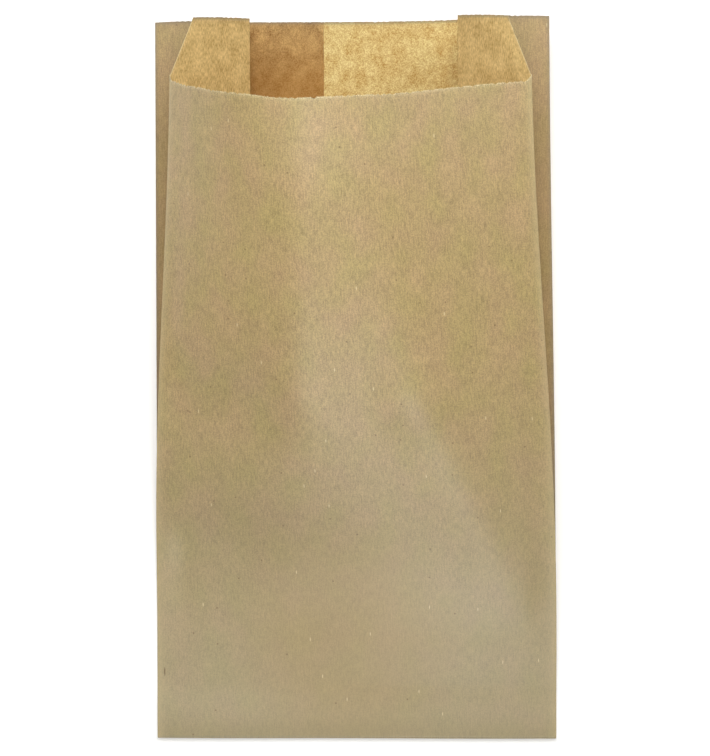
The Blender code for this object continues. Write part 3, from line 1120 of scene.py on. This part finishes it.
@dataclass(frozen=True)
class GlazedKraft(KraftFinish):
    """Outer side of unbleached kraft, dried against a polished cylinder.

    The cylinder leaves a dull sheen. The fibres lie along the web, so the eye sees fine lengthwise lines,
    and where the pulp is thicker or cooked further the brown turns a little pinker or more olive.
    """

    name: str = "kraft_glazed_side"
    roughness: float = 0.43
    relief: float = 0.000012
    pink: str = "#bb9f73"
    olive: str = "#b5a06b"
    # Kraft fibres are about 0.03 mm wide and 3 mm long. They show as bundles, drawn as wide as a picture
    # of the whole bag needs to show them. Each span is how much brightness a pattern covers.
    bundle: Grain = Grain((0.48, 3.2), 3.1, 2.0)
    grit: Grain = Grain((0.40, 0.48), 7.7)
    cloud: Grain = Grain((6.0, 8.0), 11.3, 2.0)
    tint: Grain = Grain((11.0, 16.0), 17.9)
    bundle_span: float = 0.30
    grit_span: float = 0.36
    cloud_span: float = 0.09
    # Greyer towards the bottom, and painted shade along the bottom fold, where the sheet curves away under
    # the bag
    low_grey: Mark = Mark("#aba48a", 0.5)
    fold_shade: Mark = Mark("#9a8c62", 0.3)
    grey_length: float = 175.0
    fold_shade_length: float = 9.0
    # A warmer patch in the lower middle of the front panel
    low_warm: Mark = Mark("#b6965c", 0.27)
    warm_patch: Oval = Oval((72.0, 40.0), (105.0, 120.0), 0.3)
    # Painted shade and bounced light: the gussets' leaves are drawn browner and darker, most of all where
    # they lie deep inside the bag
    leaf_shade: Mark = Mark("#a07c45", 0.34)
    leaf_shade_fade: Pair = (268.0, 225.0)
    mouth_share: float = 0.3
    # Bark flecks, single pale fibres, and a short dark nick beside the front panel's left crease
    fleck: Mark = Mark("#6a5236", 0.6)
    flecks: Specks = Specks((9.0, 9.0), 0.045, 0.13)
    fibre: Mark = Mark("#ecdcae", 0.7)
    fibres: Specks = Specks((4.5, 17.0), 0.055, 0.06)
    scar: Mark = Mark("#6a5236", 0.9)
    nick: Oval = Oval((2.6, 24.0), (0.55, 4.2), 0.5)
    # Front creases wear pale and carry a painted highlight; the back folds carry painted shade where they
    # turn under.
    # The square cut carries a painted shadow line, the torn one pale fibres and a painted highlight.
    crease_wear_highlight: Mark = Mark("#d0bd90", 0.4)
    back_fold_shade: Mark = Mark("#8f836f", 0.6)
    cut_edge_shadow: Mark = Mark("#8a7f6b", 0.7)
    torn_cut_highlight: Mark = Mark("#fbeebd", 1.0)

    def draw(self, pen: Pen) -> tuple[Socket, Socket]:
        """The glazed side's brown with its fibres, marks and wear, and its painted shade, shadow and
        highlights at the leaves, folds and cuts.

        Args:
            pen: what draws the finish.

        Returns:
            The sockets that give the colour and the relief's height.
        """
        bundles = self.bundle.draw(pen)
        grit = self.grit.draw(pen)
        clouds = self.cloud.draw(pen)
        spans = (self.bundle_span, self.grit_span, self.cloud_span)
        level = pen.summed(list(zip((bundles, grit, clouds), spans)), 1.0 - 0.5 * sum(spans))
        colour = pen.mixed(self.tint.draw(pen), linear(self.olive), linear(self.pink))
        colour = pen.add("VectorMath", {"operation": "SCALE"}, {0: colour, "Scale": level}).outputs[0]
        # Greyer towards the bottom, then painted shade near the bottom fold
        for mark, length in ((self.low_grey, self.grey_length), (self.fold_shade, self.fold_shade_length)):
            near_fold = {"Value": pen.along, "From Min": length, "From Max": 0.0}
            fade = pen.add("MapRange", {"interpolation_type": "SMOOTHSTEP"}, near_fold)
            colour = mark.over(pen, colour, fade.outputs[0])
        colour = self.low_warm.over(pen, colour, self.warm_patch.draw(pen))
        # Painted shade and bounced light on the gussets' leaves, strongest deep inside the bag
        mouth, deep = self.leaf_shade_fade
        inward = {"Value": pen.along, "From Min": mouth, "From Max": deep, "To Min": self.mouth_share}
        fade = pen.add("MapRange", {}, inward)
        shade_on_leaves = {0: fade.outputs[0], 1: pen.marked("leaf")}
        leaf = pen.add("Math", {"operation": "MULTIPLY"}, shade_on_leaves).outputs[0]
        # Pale torn fibres and a painted highlight along the lowered cut
        torn = {0: pen.marked("lowered_cut"), 1: grit}
        torn_and_lit_cut = pen.add("Math", {"operation": "MULTIPLY"}, torn).outputs[0]
        # Painted in this list: shade on the leaves and back folds, highlights on the front creases and the
        # lowered cut, a shadow line on the square cut
        for mark, where in (
            (self.leaf_shade, leaf),
            (self.fleck, self.flecks.draw(pen)),
            (self.fibre, self.fibres.draw(pen)),
            (self.scar, self.nick.draw(pen)),
            (self.crease_wear_highlight, pen.marked("front_crease")),
            (self.back_fold_shade, pen.marked("back_crease")),
            (self.cut_edge_shadow, pen.marked("square_cut")),
            (self.torn_cut_highlight, torn_and_lit_cut),
        ):
            colour = mark.over(pen, colour, where)
        height = pen.add("Math", {"operation": "ADD"}, {0: bundles, 1: grit})
        return colour, height.outputs[0]


@dataclass(frozen=True)
class RoughKraft(KraftFinish):
    """Inner side of the same paper, dried in the open.

    It is matt and yellower. Where a single sheet lies over something white, light comes through the thin
    places between the fibre clumps, so it is golden and speckled; that light is painted into its colour.
    Two glued sheets are painted darker and browner, as less light comes through them.
    """

    name: str = "kraft_rough_side"
    roughness: float = 0.9
    relief: float = 0.00002
    # The colours of the thick and of the thin places. On the single ply and the lap they carry painted
    # light that comes through the sheet, less of it through the lap's two sheets.
    leaf: tuple[str, str] = ("#ab8644", "#f7d894")
    single: tuple[str, str] = ("#ba7f26", "#fff0aa")
    lap: tuple[str, str] = ("#7a5120", "#e6be7c")
    # Small clumps of fibre are about 0.3 mm wide. They are drawn coarser, as wide as they need to show.
    clump: Grain = Grain((0.43, 0.5), 5.3)
    line: Grain = Grain((0.48, 1.5), 9.1)
    cloud: Grain = Grain((4.5, 5.5), 13.7, 2.0)
    haze: Grain = Grain((2.0, 2.4), 19.3)
    # How much each pattern counts: clumps, lines, haze and clouds
    leaf_mix: tuple[float, ...] = (0.2, 0.5, 0.0, 0.3)
    single_mix: tuple[float, ...] = (0.55, 0.0, 0.15, 0.3)
    lap_mix: tuple[float, ...] = (0.4, 0.15, 0.1, 0.35)
    # Painted shade: the lap is drawn darker and browner deep inside the mouth, where shade and light
    # bounced off brown paper fall
    deep_lap_shade: Mark = Mark("#a9701c", 0.5)
    mouth: Pair = (268.0, 246.0)
    # Painted shadow line along the square cut
    cut_edge_shadow: Mark = Mark("#8a7f6b", 0.75)
    # Pale torn fibres and a painted highlight along the lowered cut
    torn_cut_highlight: Mark = Mark("#fbeebd", 0.7)

    def draw(self, pen: Pen) -> tuple[Socket, Socket]:
        """The rough side's gold with its clumps, on the leaves, on the single ply and on the lap, with
        painted light through the single ply and painted shade deep in the lap.

        Args:
            pen: what draws the finish.

        Returns:
            The sockets that give the colour and the relief's height.
        """
        patterns = [grain.draw(pen) for grain in (self.clump, self.line, self.haze, self.cloud)]
        kinds = ((self.leaf_mix, self.leaf), (self.single_mix, self.single), (self.lap_mix, self.lap))
        colours = []
        for mix, (thick, thin) in kinds:
            thinness = pen.summed(list(zip(patterns, mix)))
            colours.append(pen.mixed(thinness, linear(thick), linear(thin)))
        leaf, single, lap = colours
        inward = {"Value": pen.along, "From Min": self.mouth[0], "From Max": self.mouth[1]}
        # Painted shade deep inside the mouth
        lap = self.deep_lap_shade.over(pen, lap, pen.add("MapRange", {}, inward).outputs[0])
        # Painted light that comes through the single ply, and less of it through the lap
        colour = pen.mixed(pen.marked("single_ply"), leaf, single)
        colour = pen.mixed(pen.marked("lap"), colour, lap)
        # Painted shadow line along the square cut
        colour = self.cut_edge_shadow.over(pen, colour, pen.marked("square_cut"))
        # Pale torn fibres and a painted highlight along the lowered cut
        return self.torn_cut_highlight.over(pen, colour, pen.marked("lowered_cut")), patterns[0]


@dataclass(frozen=True)
class CutKraft(KraftFinish):
    """Knife-cut edge of kraft: torn fibres that catch the light, paler than either side."""

    name: str = "kraft_cut_edge"
    roughness: float = 0.95
    relief: float = 0.0
    dark: str = "#c4ab7c"
    light: str = "#f0e0b4"
    tuft: Grain = Grain((0.4, 0.4), 23.9)

    def draw(self, pen: Pen) -> tuple[Socket, None]:
        """The edge's pale tufts, with no relief of their own.

        Args:
            pen: what draws the finish.

        Returns:
            The socket that gives the colour, and no height.
        """
        return pen.mixed(self.tuft.draw(pen), linear(self.dark), linear(self.light)), None


@dataclass(frozen=True)
class Softbox:
    """One square softbox, aimed at the middle of the bag."""

    place: tuple[float, float, float]
    power: float
    size: float

    def build(self, name: str) -> Object:
        """The light, turned to face the bag.

        Args:
            name: the light's name.

        Returns:
            The light, not yet in the scene.
        """
        lamp = bpy.data.lights.new(name, "AREA")
        lamp.shape = "SQUARE"
        lamp.size = self.size
        lamp.energy = self.power
        light = bpy.data.objects.new(name, lamp)
        light.location = self.place
        light.rotation_mode = "QUATERNION"
        light.rotation_quaternion = light.location.to_track_quat("Z", "Y")
        return light


@dataclass(frozen=True)
class Studio:
    """White table, soft light from above, and the camera over the bag."""

    picture_height: int = 756
    millimetres_per_pixel: float = 0.378
    camera_height: float = 0.925
    camera_x: float = -0.0002
    camera_y: float = 0.0009
    camera_turn: float = -0.00394
    sensor: float = 36.0
    floor_size: float = 6.0
    floor_drop: float = 0.0002
    floor_colour: str = "#fbfbfa"
    floor_roughness: float = 0.8
    floor_glow: float = 0.26
    far_glow: float = 0.85
    far_floor: Pair = (0.5, 2.0)
    softboxes: tuple[Softbox, ...] = (
        Softbox((0.0, -1.4, 1.2), 10.0, 0.5),
        Softbox((0.0, 0.35, 0.8), 3.5, 0.4),
        Softbox((0.55, 0.45, 0.6), 1.9, 0.4),
        Softbox((-0.55, 0.45, 0.6), 1.8, 0.4),
        Softbox((0.05, -0.15, 1.0), 1.0, 0.3),
    )
    room_light: float = 0.04
    room_colour: str = "#ffffff"

    def build(self) -> None:
        """Build the floor, the lights and the camera."""
        scene = bpy.context.scene
        scene.view_settings.view_transform = "Standard"
        self.build_floor(scene)
        self.build_light(scene)
        self.build_camera(scene)

    def build_floor(self, scene: Scene) -> None:
        """A table of matt white card, which gives the light back evenly and runs out of the picture.

        Args:
            scene: the scene that it goes into.
        """
        half = 0.5 * self.floor_size
        corners = [(-half, -half, 0.0), (half, -half, 0.0), (half, half, 0.0), (-half, half, 0.0)]
        mesh = bpy.data.meshes.new("table")
        mesh.from_pydata(corners, [], [(0, 1, 2, 3)])
        floor = bpy.data.objects.new("table", mesh)
        floor.location.z = -self.floor_drop
        material = bpy.data.materials.new("white_table")
        material.use_nodes = True
        pen = Pen(material.node_tree)
        shader = pen.tree.nodes["Principled BSDF"]
        shader.inputs["Base Color"].default_value = linear(self.floor_colour)
        shader.inputs["Roughness"].default_value = self.floor_roughness
        shader.inputs["Emission Color"].default_value = linear(self.floor_colour)
        # The table stays pale where the softboxes no longer reach it
        place = pen.add("TexCoord").outputs["Object"]
        away = pen.add("VectorMath", {"operation": "LENGTH"}, {0: place})
        near, far = self.far_floor
        reach = {"Value": away.outputs["Value"], "From Min": near, "From Max": far}
        reach.update({"To Min": self.floor_glow, "To Max": self.far_glow})
        glow = pen.add("MapRange", {}, reach)
        pen.tree.links.new(glow.outputs[0], shader.inputs["Emission Strength"])
        mesh.materials.append(material)
        scene.collection.objects.link(floor)

    def build_light(self, scene: Scene) -> None:
        """Softboxes over the table, and the light that a white room sends back.

        Args:
            scene: the scene that they go into.
        """
        for number, softbox in enumerate(self.softboxes, start=1):
            scene.collection.objects.link(softbox.build(f"softbox_{number}"))
        world = bpy.data.worlds.new("white_room")
        world.use_nodes = True
        background = world.node_tree.nodes["Background"]
        background.inputs["Strength"].default_value = self.room_light
        background.inputs["Color"].default_value = linear(self.room_colour)
        scene.world = world

    def build_camera(self, scene: Scene) -> None:
        """The camera looks straight down; its lens follows from the picture's scale at the table.

        Args:
            scene: the scene that it goes into.
        """
        camera = bpy.data.cameras.new("camera")
        camera.sensor_width = self.sensor
        picture = self.picture_height * self.millimetres_per_pixel * MILLIMETRE
        camera.lens = self.sensor * self.camera_height / picture
        view = bpy.data.objects.new("camera", camera)
        view.location = (self.camera_x, self.camera_y, self.camera_height)
        view.rotation_euler = (0.0, 0.0, self.camera_turn)
        scene.collection.objects.link(view)
        scene.camera = view


def main() -> None:
    """Build the bag in place of its solid, then the studio."""
    logging.basicConfig(level=logging.INFO)
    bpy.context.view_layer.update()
    cut_edge = CutKraft().build()
    sheet = BagSheet()
    bag = sheet.build("paper_bag_sheet", [GlazedKraft().build(), RoughKraft().build(), cut_edge])
    fibres = TornFibres(sheet).build("cut_edge_fibres", cut_edge)
    for piece in (bag, fibres):
        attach(piece, "root")
    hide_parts("paper_bag")
    Studio().build()
    bpy.context.view_layer.update()


if __name__ == "__main__":
    main()
